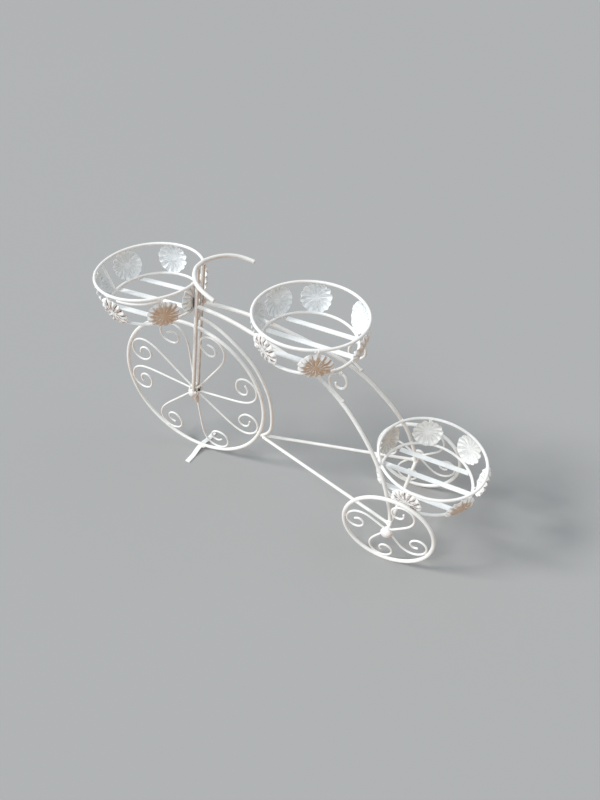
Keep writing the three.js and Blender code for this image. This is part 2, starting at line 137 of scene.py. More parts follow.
# -------------------------------------------------------------------- materials
def enamel(name, base, dark, rough, warm=None, warm_amount=0.0, warm_from=0.3, warm_to=0.9,
           toward=(0.74, -0.16, -0.65), grime=0.35, bump=0.06, crease=None, pale_crests=1.0):
    """Sprayed gloss enamel: soft colour drift, orange peel, rust freckles and a
    warm painted reflection, with painted shade, on what faces the ground and the back of the stand."""
    m = bpy.data.materials.new(name)
    m.use_nodes = True
    nt = m.node_tree
    for n in list(nt.nodes):
        nt.nodes.remove(n)
    N = nt.nodes.new
    L = nt.links.new
    out = N("ShaderNodeOutputMaterial")
    bsdf = N("ShaderNodeBsdfPrincipled")
    L(bsdf.outputs["BSDF"], out.inputs["Surface"])
    tc = N("ShaderNodeTexCoord")

    def noise(scale, detail=3.0, rough_=0.55, dist=0.0):
        n = N("ShaderNodeTexNoise")
        n.inputs["Scale"].default_value = scale
        n.inputs["Detail"].default_value = detail
        n.inputs["Roughness"].default_value = rough_
        n.inputs["Distortion"].default_value = dist
        L(tc.outputs["Object"], n.inputs["Vector"])
        return n.outputs["Fac"]

    def ramp(value, lo, hi):
        r = N("ShaderNodeMapRange")
        r.interpolation_type = "SMOOTHSTEP"
        r.inputs["From Min"].default_value = lo
        r.inputs["From Max"].default_value = hi
        L(value, r.inputs["Value"])
        return r.outputs["Result"]

    def maths(op, a, b=0.0, clamp=True):
        n = N("ShaderNodeMath")
        n.operation = op
        n.use_clamp = clamp
        for i, v in enumerate((a, b)):
            if isinstance(v, (int, float)):
                n.inputs[i].default_value = v
            else:
                L(v, n.inputs[i])
        return n.outputs["Value"]

    def mix(fac, a, b):
        n = N("ShaderNodeMix")
        n.data_type = "RGBA"
        for sock, v in ((n.inputs["Factor"], fac), (n.inputs["A"], a), (n.inputs["B"], b)):
            if isinstance(v, (int, float)):
                sock.default_value = v
            elif isinstance(v, tuple):
                sock.default_value = (*v, 1.0)
            else:
                L(v, sock)
        return n.outputs["Result"]

    # slow drift between a fresh and a slightly aged white
    colour = mix(ramp(noise(26.0, 4.0, 0.6, 0.4), 0.36, 0.66), base, dark)
    if warm:
        # painted reflection and shade: the warm tint goes by where the surface faces, in object space
        dot = N("ShaderNodeVectorMath")
        dot.operation = "DOT_PRODUCT"
        L(tc.outputs["Normal"], dot.inputs[0])
        dot.inputs[1].default_value = Vector(toward).normalized()
        painted_reflection_mask = ramp(dot.outputs["Value"], warm_from, warm_to)
        mott = ramp(noise(75.0, 5.0, 0.65, 0.6), 0.25, 0.62)
        painted_reflection_mask = maths("MULTIPLY", painted_reflection_mask, maths("ADD", maths("MULTIPLY", mott, 0.22), 0.78))
    if crease:
        # u runs round the flower, v from its middle (0) to its edge (1)
        sheet = N("ShaderNodeUVMap")
        sheet.uv_map = "petals"
        duv = N("ShaderNodeSeparateXYZ")
        L(sheet.outputs["UV"], duv.inputs[0])
        turn = maths("MULTIPLY", duv.outputs["X"], 2 * math.pi * 14, clamp=False)
        petal = maths("COSINE", turn, clamp=False)
        pleat = maths("COSINE", maths("MULTIPLY", turn, 2.0, clamp=False), clamp=False)
        v_ = duv.outputs["Y"]
        # painted highlight: the tops of the pleats keep less of the painted reflection than the hollows, so they stay
        # paler
        painted_crest_highlight = maths("MULTIPLY", ramp(pleat, 0.1, 0.95), maths("ADD", maths("MULTIPLY", ramp(v_, 0.30, 0.50), 0.16), maths("MULTIPLY", ramp(v_, 0.66, 0.86), 0.30)))
        if warm:
            painted_reflection_mask = maths("MULTIPLY", painted_reflection_mask, maths("SUBTRACT", 1.0, maths("MULTIPLY", painted_crest_highlight, pale_crests)))
    if warm:
        colour = mix(maths("MULTIPLY", painted_reflection_mask, warm_amount), colour, warm)
    if crease:
        # painted shade in the stamped creases: they are darkened where shade falls in them
        patchy = ramp(noise(38.0, 3.0, 0.6, 0.3), 0.30, 0.62)
        line = maths("MULTIPLY", ramp(petal, -0.68, -0.98), maths("MULTIPLY", ramp(v_, 0.16, 0.36), ramp(v_, 1.03, 0.84)))
        fine = maths("MULTIPLY", ramp(pleat, -0.45, -0.98), maths("MULTIPLY", ramp(v_, 0.10, 0.30), ramp(v_, 0.90, 0.62)))
        pit = maths("ADD", line, maths("MULTIPLY", fine, 0.45))
        pit = maths("MULTIPLY", pit, maths("ADD", maths("MULTIPLY", patchy, 0.75), 0.25))
        if len(crease) > 2:
            pit = maths("MULTIPLY", pit, crease[2])
        colour = mix(maths("MULTIPLY", pit, crease[1]), colour, crease[0])
    # rust freckles and grime, stronger underneath
    sep = N("ShaderNodeSeparateXYZ")
    L(tc.outputs["Normal"], sep.inputs[0])
    under = ramp(sep.outputs["Z"], 0.15, -0.9)
    spots = ramp(noise(150.0, 6.0, 0.7, 0.8), 0.62, 0.72)
    patch = ramp(noise(11.0, 2.0, 0.5, 0.2), 0.45, 0.65)
    rust = maths("MULTIPLY", maths("MULTIPLY", spots, patch), maths("ADD", maths("MULTIPLY", under, 0.65), 0.12))
    colour = mix(maths("MULTIPLY", rust, grime), colour, (0.30, 0.155, 0.075))
    L(colour, bsdf.inputs["Base Color"])
    # gloss varies where the paint went on thin
    r = N("ShaderNodeMapRange")
    r.inputs["To Min"].default_value = rough - 0.06
    r.inputs["To Max"].default_value = rough + 0.12
    L(noise(70.0, 3.0), r.inputs["Value"])
    L(maths("ADD", r.outputs["Result"], maths("MULTIPLY", rust, 0.3)), bsdf.inputs["Roughness"])
    # orange peel and a few runs
    b1 = N("ShaderNodeBump")
    b1.inputs["Strength"].default_value = bump
    b1.inputs["Distance"].default_value = 0.0006
    L(noise(520.0, 2.0, 0.5), b1.inputs["Height"])
    b2 = N("ShaderNodeBump")
    b2.inputs["Strength"].default_value = bump * 1.6
    b2.inputs["Distance"].default_value = 0.0012
    L(noise(120.0, 3.0, 0.5, 0.3), b2.inputs["Height"])
    L(b1.outputs["Normal"], b2.inputs["Normal"])
    L(b2.outputs["Normal"], bsdf.inputs["Normal"])
    bsdf.inputs["Specular IOR Level"].default_value = 0.5
    bsdf.inputs["Coat Weight"].default_value = 0.2
    bsdf.inputs["Coat Roughness"].default_value = 0.15
    return m


# TAN and EAST: colour and direction of the warm painted reflection of the ground, which most finishes below put on the
# faces that point that way
TAN = (0.50, 0.345, 0.235)
EAST = (0.88, -0.36, -0.31)
PETAL = ((0.88, 0.88, 0.87), (0.80, 0.795, 0.785))
# colour and strength of the painted shade in the flower creases
CREASE_SHADE = ((0.36, 0.235, 0.17), 0.66)
M = {
    "frame_enamel": enamel("enamel_frame", (0.88, 0.87, 0.85), (0.81, 0.795, 0.765), 0.32, TAN, 0.60, 0.50, 1.0, EAST),
    "fork_enamel": enamel("enamel_fork", (0.88, 0.85, 0.83), (0.79, 0.745, 0.70), 0.24, (0.40, 0.265, 0.18), 0.80, 0.62, 1.0, (0.97, -0.20, -0.15), grime=0.9),
    "rim_enamel": enamel("enamel_rim", (0.885, 0.88, 0.86), (0.82, 0.81, 0.785), 0.32, TAN, 0.55, 0.50, 1.0, EAST),
    "scroll_wire_enamel": enamel("enamel_scroll", (0.885, 0.88, 0.86), (0.83, 0.81, 0.785), 0.30, TAN, 0.62, 0.50, 1.0, EAST),
    "cap_enamel": enamel("enamel_cap", (0.88, 0.865, 0.85), (0.83, 0.80, 0.77), 0.26, (0.55, 0.33, 0.25), 0.80, 0.35, 0.87, (0.70, -0.42, -0.58)),
    # painted shade: the brown of the weld runs, and the near-black of the painted shadow lumps
    "weld_run_painted_shade": enamel("enamel_weld_run_painted_shade", (0.70, 0.56, 0.47), (0.55, 0.40, 0.31), 0.36, (0.36, 0.22, 0.14), 0.5, 0.30, 0.95, (0.80, -0.30, -0.50), grime=0.9),
    "painted_shadow_dark": enamel("enamel_painted_shadow", (0.10, 0.08, 0.065), (0.055, 0.045, 0.04), 0.60, (0.08, 0.05, 0.035), 0.5, 0.2, 0.9, (0.80, -0.30, -0.50), grime=0.9),
    "basket_ring_enamel": enamel("enamel_ring", (0.885, 0.885, 0.875), (0.83, 0.82, 0.80), 0.28, TAN, 0.45, 0.50, 1.0, EAST),
    "flat_bar_enamel": enamel("enamel_bar", (0.89, 0.905, 0.905), (0.84, 0.855, 0.855), 0.28, TAN, 0.25, 0.5, 1.0),
    # lit and shaded copies of the flower enamel, each with its own painted warm reflection and painted crease shade:
    # the flowers that face the ground on the near right, and all the others
    "flower_shaded": enamel("enamel_flower_shaded", *PETAL, 0.34, (0.50, 0.325, 0.20), 0.96, 0.68, 0.86, (0.69, -0.58, -0.44), grime=0.5, bump=0.08, crease=((0.25, 0.14, 0.08), 0.70), pale_crests=0.3),
    "flower_side": enamel("enamel_flower_side", *PETAL, 0.34, (0.56, 0.40, 0.28), 0.85, 0.80, 0.97, (0.90, -0.28, -0.34), grime=0.5, bump=0.08, crease=CREASE_SHADE),
    "flower_grey": enamel("enamel_flower_grey", (0.86, 0.885, 0.89), (0.76, 0.785, 0.79), 0.38, (0.60, 0.58, 0.55), 0.15, 0.60, 0.95, (0.70, -0.50, -0.50), grime=0.9, bump=0.08, crease=CREASE_SHADE),
    "flower_crease_shade": enamel("enamel_flower_crease_shade", *PETAL, 0.34, (0.50, 0.35, 0.23), 0.85, 0.84, 0.96, (0.70, -0.62, -0.36), grime=0.9, bump=0.10, crease=((0.16, 0.085, 0.05), 1.0, 1.7)),
    "flower_enamel": enamel("enamel_flower", *PETAL, 0.34, (0.56, 0.40, 0.28), 0.80, 0.86, 0.97, (0.70, -0.62, -0.36), grime=0.5, bump=0.08, crease=((0.27, 0.165, 0.115), 0.85)),
    # the backs carry painted shade in their creases and on the side facing the back of the stand; the dim copy is
    # painted shade for a rear flower turned from the lights
    "flower_back": enamel("enamel_flower_back", (0.88, 0.905, 0.92), (0.82, 0.85, 0.865), 0.32, (0.74, 0.74, 0.73), 0.25, 0.60, 1.0, (1.0, 0.0, 0.2), grime=0.2, bump=0.12,
                          crease=((0.44, 0.46, 0.46), 0.45)),
    "flower_back_plain": enamel("enamel_flower_back_plain", (0.895, 0.895, 0.875), (0.835, 0.83, 0.805), 0.32, (0.70, 0.66, 0.61), 0.3, 0.60, 1.0, (1.0, 0.0, 0.2), grime=0.3, bump=0.12,
                                crease=((0.44, 0.43, 0.40), 0.55)),
    "flower_back_dim": enamel("enamel_flower_back_dim", (0.80, 0.775, 0.74), (0.68, 0.645, 0.60), 0.34, (0.52, 0.45, 0.38), 0.5, 0.50, 1.0, (1.0, 0.0, 0.2), grime=0.4, bump=0.12,
                              crease=((0.36, 0.31, 0.27), 0.55)),
}


# ----------------------------------------------------------------- mesh helpers
def make(name, verts, faces, slot, body, nodes=(), back=None, uv=None, finish=None, inner="flower_back"):
    """A smooth mesh piece from millimetre points, riding on its body."""
    co = row(verts)
    me = bpy.data.meshes.new(name)
    me.from_pydata(co.tolist(), [], [list(map(int, f)) for f in faces])
    me.validate()
    me.polygons.foreach_set("use_smooth", np.ones(len(me.polygons), bool))
    me.materials.append(M[finish or slot])
    if back is not None:
        me.materials.append(M[inner])
        me.polygons.foreach_set("material_index", np.asarray(back, np.int32))
    if uv is not None:
        layer = me.uv_layers.new(name="petals")
        layer.data.foreach_set("uv", np.asarray(uv, np.float32).ravel())
    o = bpy.data.objects.new(name, me)
    bpy.context.scene.collection.objects.link(o)
    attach(o, body)
    if nodes:
        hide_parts(*nodes)
    return o


class Shape:
    """Collects closed shells into one piece."""

    def __init__(self):
        self.v, self.f, self.n = [], [], 0

    def add(self, verts, faces):
        verts = np.asarray(verts, float)
        self.v.append(verts)
        self.f += [[i + self.n for i in f] for f in faces]
        self.n += len(verts)
        return self

    def verts(self):
        return np.vstack(self.v)


def cubic(points, count):
    """Smooth line through the points, in equal steps."""
    p = np.asarray(points, float)
    t = np.r_[0, np.cumsum(np.linalg.norm(np.diff(p, axis=0), axis=1))]
    n = len(p)
    if n == 2:
        return p[0] + np.linspace(0, 1, count)[:, None] * (p[1] - p[0])
    h = np.diff(t)
    A = np.zeros((n, n))
    R = np.zeros((n, p.shape[1]))
    A[0, 0] = A[-1, -1] = 1.0
    for i in range(1, n - 1):
        A[i, i - 1], A[i, i], A[i, i + 1] = h[i - 1], 2 * (h[i - 1] + h[i]), h[i]
        R[i] = 6 * ((p[i + 1] - p[i]) / h[i] - (p[i] - p[i - 1]) / h[i - 1])
    m = np.linalg.solve(A, R)
    q = np.linspace(0, t[-1], 3000)
    k = np.clip(np.searchsorted(t, q, side="right") - 1, 0, n - 2)
    a, b = (t[k + 1] - q)[:, None], (q - t[k])[:, None]
    hk = h[k][:, None]
    y = (m[k] * a**3 + m[k + 1] * b**3) / (6 * hk) + (p[k] / hk - m[k] * hk / 6) * a + (p[k + 1] / hk - m[k + 1] * hk / 6) * b
    s = np.r_[0, np.cumsum(np.linalg.norm(np.diff(y, axis=0), axis=1))]
    u = np.linspace(0, s[-1], count)
    return np.stack([np.interp(u, s, y[:, j]) for j in range(y.shape[1])], 1)


def frames(path, closed=False):
    if closed:
        t = np.roll(path, -1, 0) - np.roll(path, 1, 0)
    else:
        t = np.gradient(path, axis=0)
    t /= np.linalg.norm(t, axis=1)[:, None]
    ref = np.array([0.0, 1.0, 0.0]) if abs(t[0][1]) < 0.8 else np.array([0.0, 0.0, 1.0])
    n = np.zeros_like(t)
    n[0] = ref - t[0] * (ref @ t[0])
    n[0] /= np.linalg.norm(n[0])
    for i in range(1, len(t)):
        v = n[i - 1] - t[i] * (n[i - 1] @ t[i])
        n[i] = v / np.linalg.norm(v)
    return t, n, np.cross(t, n)


RNG = np.random.default_rng(7)


def wobble(count, amount, waves, closed=False):
    """Slow seeded irregularity along a rod."""
    s = np.linspace(0, 2 * math.pi, count, endpoint=not closed)
    out = np.zeros(count)
    for k in range(1, waves + 1):
        out += RNG.normal() * np.cos(k * s + RNG.uniform(0, 6.28)) / k**0.6
    return amount * out / math.sqrt(waves)


def rod(path, radius, sides=16, closed=False, cut=0.35, thick=0.012):
    """Closed round rod along the path. Open ends are domed by cut x radius."""
    path = np.asarray(path, float)
    t, n, b = frames(path, closed)
    c = len(path)
    r = radius * (1 + wobble(c, thick, 9, closed))
    ang = np.arange(sides) * 2 * math.pi / sides
    ca, sa = np.cos(ang), np.sin(ang)
    rings = [path[i] + r[i] * (np.outer(ca, n[i]) + np.outer(sa, b[i])) for i in range(c)]
    if closed:
        v = np.vstack(rings)
        f = []
        for i in range(c):
            j = (i + 1) % c
            for k in range(sides):
                l = (k + 1) % sides
                f.append((i * sides + k, i * sides + l, j * sides + l, j * sides + k))
        return v, f
    # domed ends
    steps = [(1.0, 0.0), (0.97, 0.30), (0.86, 0.60), (0.62, 0.86), (0.30, 0.98)]
    start, end = [], []
    for s, z in steps[1:]:
        start.append(path[0] - t[0] * z * cut * radius + s * r[0] * (np.outer(ca, n[0]) + np.outer(sa, b[0])))
        end.append(path[-1] + t[-1] * z * cut * radius + s * r[-1] * (np.outer(ca, n[-1]) + np.outer(sa, b[-1])))
    allr = start[::-1] + rings + end
    v = np.vstack(allr + [np.array([path[0] - t[0] * cut * radius]), np.array([path[-1] + t[-1] * cut * radius])])
    f = []
    m = len(allr)
    for i in range(m - 1):
        for k in range(sides):
            l = (k + 1) % sides
            f.append((i * sides + k, i * sides + l, (i + 1) * sides + l, (i + 1) * sides + k))
    s0, e0 = m * sides, m * sides + 1
    for k in range(sides):
        l = (k + 1) % sides
        f.append((l, k, s0))
        f.append(((m - 1) * sides + k, (m - 1) * sides + l, e0))
    return v, f


def lathe(profile, segs, axis="y"):
    """Closed profile (radius, height) turned about the axis through 0."""
    p = np.asarray(profile, float)
    a = np.arange(segs) * 2 * math.pi / segs
    v = []
    for r, h in p:
        for x in a:
            v.append((r * math.cos(x), h, r * math.sin(x)) if axis == "y" else (r * math.cos(x), r * math.sin(x), h))
    f = []
    m = len(p)
    for i in range(m):
        j = (i + 1) % m
        for k in range(segs):
            l = (k + 1) % segs
            f.append((i * segs + k, j * segs + k, j * segs + l, i * segs + l) if axis == "y" else (i * segs + k, i * segs + l, j * segs + l, j * segs + k))
    return np.array(v), f


def cap_profile_dome(radius, height, bore, depth, steps=14):
    """Outline of a domed cap with a blind bore, from the bore's bottom round to the crown."""
    pts = [(0.0, depth), (bore, depth), (bore, 0.0), (radius * 0.90, 0.0), (radius * 0.97, height * 0.03), (radius, height * 0.12)]
    for i in range(1, steps + 1):
        t = i / steps * math.pi / 2
        pts.append((radius * math.cos(t), height * 0.16 + height * 0.84 * math.sin(t)))
    pts[-1] = (0.0, height)
    return pts


def turned(profile, segs, side):
    """Solid turned about Y whose profile starts and ends on the axis."""
    a = np.arange(segs) * 2 * math.pi / segs
    v = [(0.0, profile[0][1] * side, 0.0)]
    for r, h in profile[1:-1]:
        for x in a:
            v.append((r * math.cos(x), h * side, r * math.sin(x)))
    v.append((0.0, profile[-1][1] * side, 0.0))
    m = len(profile) - 2
    f = []

    def q(i, k):
        return 1 + i * segs + k % segs

    for k in range(segs):
        f.append((0, q(0, k + 1), q(0, k)))
        f.append((len(v) - 1, q(m - 1, k), q(m - 1, k + 1)))
        for i in range(m - 1):
            f.append((q(i, k), q(i, k + 1), q(i + 1, k + 1), q(i + 1, k)))
    if side > 0:
        f = [tuple(reversed(x)) for x in f]
    return np.array(v), f


def bead(centre, size, seed, long_dir=(0, 1, 0), flat_dir=None, rough=0.16):
    """A lump of weld under paint: a rippled, uneven ellipsoid."""
    rng = np.random.default_rng(seed)
    u, w = 20, 13
    z = np.array(long_dir, float)
    z /= np.linalg.norm(z)
    x = np.array(flat_dir if flat_dir is not None else ((1, 0, 0) if abs(z[0]) < 0.8 else (0, 1, 0)), float)
    x -= z * (x @ z)
    x /= np.linalg.norm(x)
    y = np.cross(z, x)
    waves = [(rng.normal(size=3) * 2.2, rng.uniform(0, 6.28), rng.uniform(0.5, 1)) for _ in range(5)]
    v = []
    for i in range(w + 1):
        th = math.pi * i / w
        for k in range(u):
            ph = 2 * math.pi * k / u
            d = np.array([math.sin(th) * math.cos(ph), math.sin(th) * math.sin(ph), math.cos(th)])
            g = 1 + rough * sum(a * math.sin(q @ d + s) for q, s, a in waves) / 2.2 + 0.05 * math.sin(9 * d[2] + rng.uniform(-.05, .05))
            p = centre + g * (d[0] * size[0] * x + d[1] * size[1] * y + d[2] * size[2] * z)
            v.append(p)
            if i in (0, w):
                break
    f = []
    last = len(v) - 1

    def q(i, k):
        return 1 + (i - 1) * u + k % u

    for k in range(u):
        f.append((0, q(1, k), q(1, k + 1)))
        f.append((last, q(w - 1, k + 1), q(w - 1, k)))
        for i in range(1, w - 1):
            f.append((q(i, k), q(i + 1, k), q(i + 1, k + 1), q(i, k + 1)))
    return np.array(v), f


def strip(path, width_dir, width, thick, round_=0.35):
    """Flat bar along a path: a rounded rectangle swept with its width along width_dir."""
    path = np.asarray(path, float)
    t = np.gradient(path, axis=0)
    t /= np.linalg.norm(t, axis=1)[:, None]
    wd = np.array(width_dir, float)
    sec = []
    hw, ht, r = width / 2, thick / 2, min(round_, thick * 0.45)
    for cx, cy, a0 in ((hw - r, ht - r, 0), (-hw + r, ht - r, 90), (-hw + r, -ht + r, 180), (hw - r, -ht + r, 270)):
        for k in range(4):
            a = math.radians(a0 + 30 * k)
            sec.append((cx + r * math.cos(a), cy + r * math.sin(a)))
    v = []
    n_s = len(sec)

    def ring(p, tt, shrink):
        w_ = wd - tt * (wd @ tt)
        w_ /= np.linalg.norm(w_)
        up = np.cross(tt, w_)
        return [p + w_ * (a - math.copysign(shrink, a)) + up * (b - math.copysign(shrink, b)) for a, b in sec]

    e = round_ * 0.8
    rings = [ring(path[0], t[0], e)]
    rings += [ring(path[0] + t[0] * e * 0.35, t[0], e * 0.3), ring(path[0] + t[0] * e, t[0], 0.0)]
    for i in range(1, len(path) - 1):
        rings.append(ring(path[i], t[i], 0.0))
    rings += [ring(path[-1] - t[-1] * e, t[-1], 0.0), ring(path[-1] - t[-1] * e * 0.35, t[-1], e * 0.3), ring(path[-1], t[-1], e)]
    v = np.vstack([np.array(r_) for r_ in rings])
    f = []
    m = len(rings)
    for i in range(m - 1):
        for k in range(n_s):
            l = (k + 1) % n_s
            f.append((i * n_s + k, i * n_s + l, (i + 1) * n_s + l, (i + 1) * n_s + k))
    f.append(tuple(reversed(range(n_s))))
    f.append(tuple((m - 1) * n_s + k for k in range(n_s)))
    return v, f


def circle(cx, cy, cz, radius, count, axis="y", start=0.0):
    a = np.arange(count) * 2 * math.pi / count + start
    z = np.zeros(count)
    if axis == "y":
        return np.stack([cx + radius * np.cos(a), z + cy, cz + radius * np.sin(a)], 1)
    return np.stack([cx + radius * np.cos(a), cy + radius * np.sin(a), z + cz], 1)


def scroll(shape, deg, cx, cy, cz, count, wide=1.0, tall=1.0, back=0.0):
    turn = math.atan2(math.sin(math.radians(deg)) / tall, math.cos(math.radians(deg)) / wide)
    pts = []
    for r, a in shape:
        x = turn + math.radians(a)
        pts.append((cx + r * wide * math.cos(x) + back * max(0, 1 - r / 150), cy, cz + r * tall * math.sin(x)))
    return cubic(pts, count)


WELDS = {}


def weld(group, *args, **kw):
    """Adds a weld lump to the group's piece."""
    WELDS.setdefault(group, Shape()).add(*bead(*args, **kw))


# ------------------------------------------------------------------ front wheel
C = circle(0, 0, 0, RIM_R, 220) * np.array([WIDE, 1, TALL]) + np.array([WHEEL_X, 0, WHEEL_Z])
C[:, 1] += wobble(220, 0.25, 4, True)
v, f = rod(C, RIM_ROD, 20, closed=True)
make("front_rim", v, f, "rim_enamel", "frame", ["front_wheel_rim"])

s = Shape()
for i, a in enumerate(FRONT_SPOKES):
    p = scroll(FRONT_SCROLL, a, WHEEL_X, 0, WHEEL_Z, 120, WIDE, TALL, HUB_X - WHEEL_X)
    s.add(*rod(p, SPOKE_ROD, 12, cut=0.5))
hub = [(4.45, -5.0), (HUB_R - 1.6, -5.0), (HUB_R - 0.5, -4.5), (HUB_R, -3.4), (HUB_R, 3.4), (HUB_R - 0.5, 4.5), (HUB_R - 1.6, 5.0), (4.45, 5.0)]
v, f = lathe(hub, 40)
s.add(v + np.array([HUB_X, 0, WHEEL_Z]), f)
make("front_scroll_spokes", s.verts(), s.f, "scroll_wire_enamel", "frame", ["front_wheel_spokes"])
for i, a in enumerate(FRONT_SPOKES):
    x = math.radians(a)
    weld("weld_front_hub", np.array([HUB_X + 11.2 * math.cos(x), 0, WHEEL_Z + 11.2 * math.sin(x)]), (3.3, 3.1, 3.6), 10 + i,
         long_dir=(math.cos(x), 0, math.sin(x)))
    y = math.radians(a + 15.5)
    weld("weld_front_rim", np.array([WHEEL_X + 174.6 * WIDE * math.cos(y), 0, WHEEL_Z + 174.6 * TALL * math.sin(y)]), (2.2, 2.9, 5.2), 40 + i,
         long_dir=(-math.sin(y), 0, math.cos(y)), flat_dir=(math.cos(y), 0, math.sin(y)))

p = cubic([(HUB_X, -17, WHEEL_Z), (HUB_X, 17, WHEEL_Z)], 12)
make("front_axle_pin", *rod(p, 4.0, 20, cut=0.1), "frame_enamel", "frame", ["front_axle"])
for side, sg in (("left", -1), ("right", 1)):
    v, f = turned(cap_profile_dome(9.0, 6.2, 4.45, 3.6), 36, sg)
    v = v + np.array([HUB_X, sg * (FORK_Y + FORK_ROD + 0.3), WHEEL_Z])
    make(f"front_cap_{side}", v, f, "cap_enamel", "frame", [f"front_axle_cap_{side}"])
    for k in range(6):
        a = math.radians(20 + 60 * k)
        weld("weld_front_hub", np.array([HUB_X + 8.0 * math.cos(a), sg * 12.2, WHEEL_Z + 8.0 * math.sin(a)]), (3.7, 3.4, 4.0), 70 + k + (9 if sg > 0 else 0),
             long_dir=(-math.sin(a), 0, math.cos(a)))
# run of weld down the lowest spoke, coloured brown as painted shade
weld("weld_spoke_run", np.array([HUB_X - 0.8, -1.4, WHEEL_Z - 19.5]), (6.2, 5.2, 17.0), 95, long_dir=(0.02, 0, -1), rough=0.1)
weld("weld_front_hub", np.array([HUB_X - 4.2, -10.6, WHEEL_Z + 8.6]), (4.4, 4.2, 8.4), 96, long_dir=(0.1, 0, 1), rough=0.12)
weld("weld_front_hub", np.array([HUB_X + 6.2, -11.6, WHEEL_Z - 2.0]), (4.8, 4.6, 5.6), 97, long_dir=(0.6, 0, -0.6), rough=0.12)
weld("weld_front_hub", np.array([HUB_X - 3.4, -13.0, WHEEL_Z + 3.4]), (5.0, 4.6, 7.2), 94, long_dir=(0.1, 0, 1), rough=0.12)
# painted shadow: near-black lumps set in the shade beside the hub and between the fork and the flower next to it
weld("painted_shadow_lumps", np.array([HUB_X + 10.6, -1.6, WHEEL_Z + 5.2]), (3.0, 3.8, 3.0), 98, long_dir=(0.5, 0, 0.5), rough=0.15)


# ------------------------------------------------------------- fork, handlebar
def fork_x(z):
    return FORK_X + FORK_SLOPE * (z - WHEEL_Z)


for side, sg in (("left", -1), ("right", 1)):
    z0 = WHEEL_Z + 4.0 + 0.3 + 0.75
    p = cubic([(fork_x(z0), sg * FORK_Y, z0), (fork_x(FORK_TOP), sg * FORK_Y, FORK_TOP)], 60)
    make(f"fork_{side}", *rod(p, FORK_ROD, 20, cut=0.25), "fork_enamel", "frame", [f"fork_rod_{side}"])
    weld("weld_fork", np.array([fork_x(z0), sg * 9.0, z0 + 0.5]), (4.6, 4.3, 5.0), 100 + sg, long_dir=(0, 0, 1))

# painted shadow: a near-black strip in the shade between the fork and the flower next to it
weld("painted_shadow_lumps", np.array([fork_x(439) - 4.9, -FORK_Y - 2.9, 439]), (1.6, 1.6, 13.0), 99, long_dir=(FORK_SLOPE, 0, 1), rough=0.15)
# weld lump where the far frame rod meets the fork, coloured brown as painted shade
weld("weld_fork_run", np.array([fork_x(434) + 6.0, FORK_Y + 0.2, 433.6]), (5.6, 4.7, 5.2), 93, long_dir=(1, 0, 0), rough=0.15)
for k, z in enumerate((426, 418.5, 411)):
    weld("weld_front_hub", np.array([fork_x(z) + 1.6, -1.5, z]), (2.6, 2.8, 3.0), 130 + k, long_dir=(0.3, 0.2, 1), rough=0.2)

BAR_X = 61.3
BAR_HALF = [(0, 0), (0.4, 11.4), (4.0, 22.7), (9.8, 34.6), (17.4, 45.4), (25.9, 54.7), (34.8, 61.4), (44.7, 66.9), (55.4, 70.6), (64.3, 72.9), (72.8, 74.5)]
pts = [(x, -y) for x, y in BAR_HALF[:0:-1]] + [(x, y) for x, y in BAR_HALF]
p = cubic([(BAR_X + x, y, 520.2 - 0.081 * x - 12.55 * (x / 81.5) ** 2) for x, y in pts], 130)
make("handlebar_bow", *rod(p, 4.0, 20, cut=0.12), "frame_enamel", "frame", ["handlebar"])
for sg in (-1, 1):
    weld("weld_fork", np.array([BAR_X + 1.2, sg * 9.5, 516.0]), (4.5, 4.6, 3.0), 110 + sg, long_dir=(0, 0, 1), flat_dir=(0, 1, 0), rough=0.1)

# ------------------------------------------------------------------ frame rods
for side, sg in (("left", -1), ("right", 1)):
    p = cubic([(x, sg * y, z) for x, y, z in FRAME_PATH], 150)
    make(f"frame_{side}", *rod(p, 4.0, 20, cut=0.3), "frame_enamel", "frame", [f"frame_rod_{side}"])
    weld("weld_fork", np.array([50.9, sg * 9.6, 431.2]), (4.4, 3.9, 4.2), 120 + sg, long_dir=(1, 0, 0))
    p = cubic([(180.0, sg * 4.3, 116.4), (499.0, sg * 91.9, 97.6)], 60)
    make(f"stay_bar_{side}", *rod(p, 3.5, 18, cut=0.3), "frame_enamel", "frame", [f"stay_{side}"])
    p = cubic([(x, sg * 48.6, z) for x, z in BRACE_PATH], 110)
    make(f"basket_prop_{side}", *rod(p, 2.5, 14, cut=0.5), "scroll_wire_enamel", "frame", [f"scroll_brace_{side}"])
p = cubic([(x, 0, z) for x, z in GUARD_PATH], 130)
make("mudguard_bar", *rod(p, 3.5, 18, cut=0.35), "frame_enamel", "frame", ["mudguard_rod"])

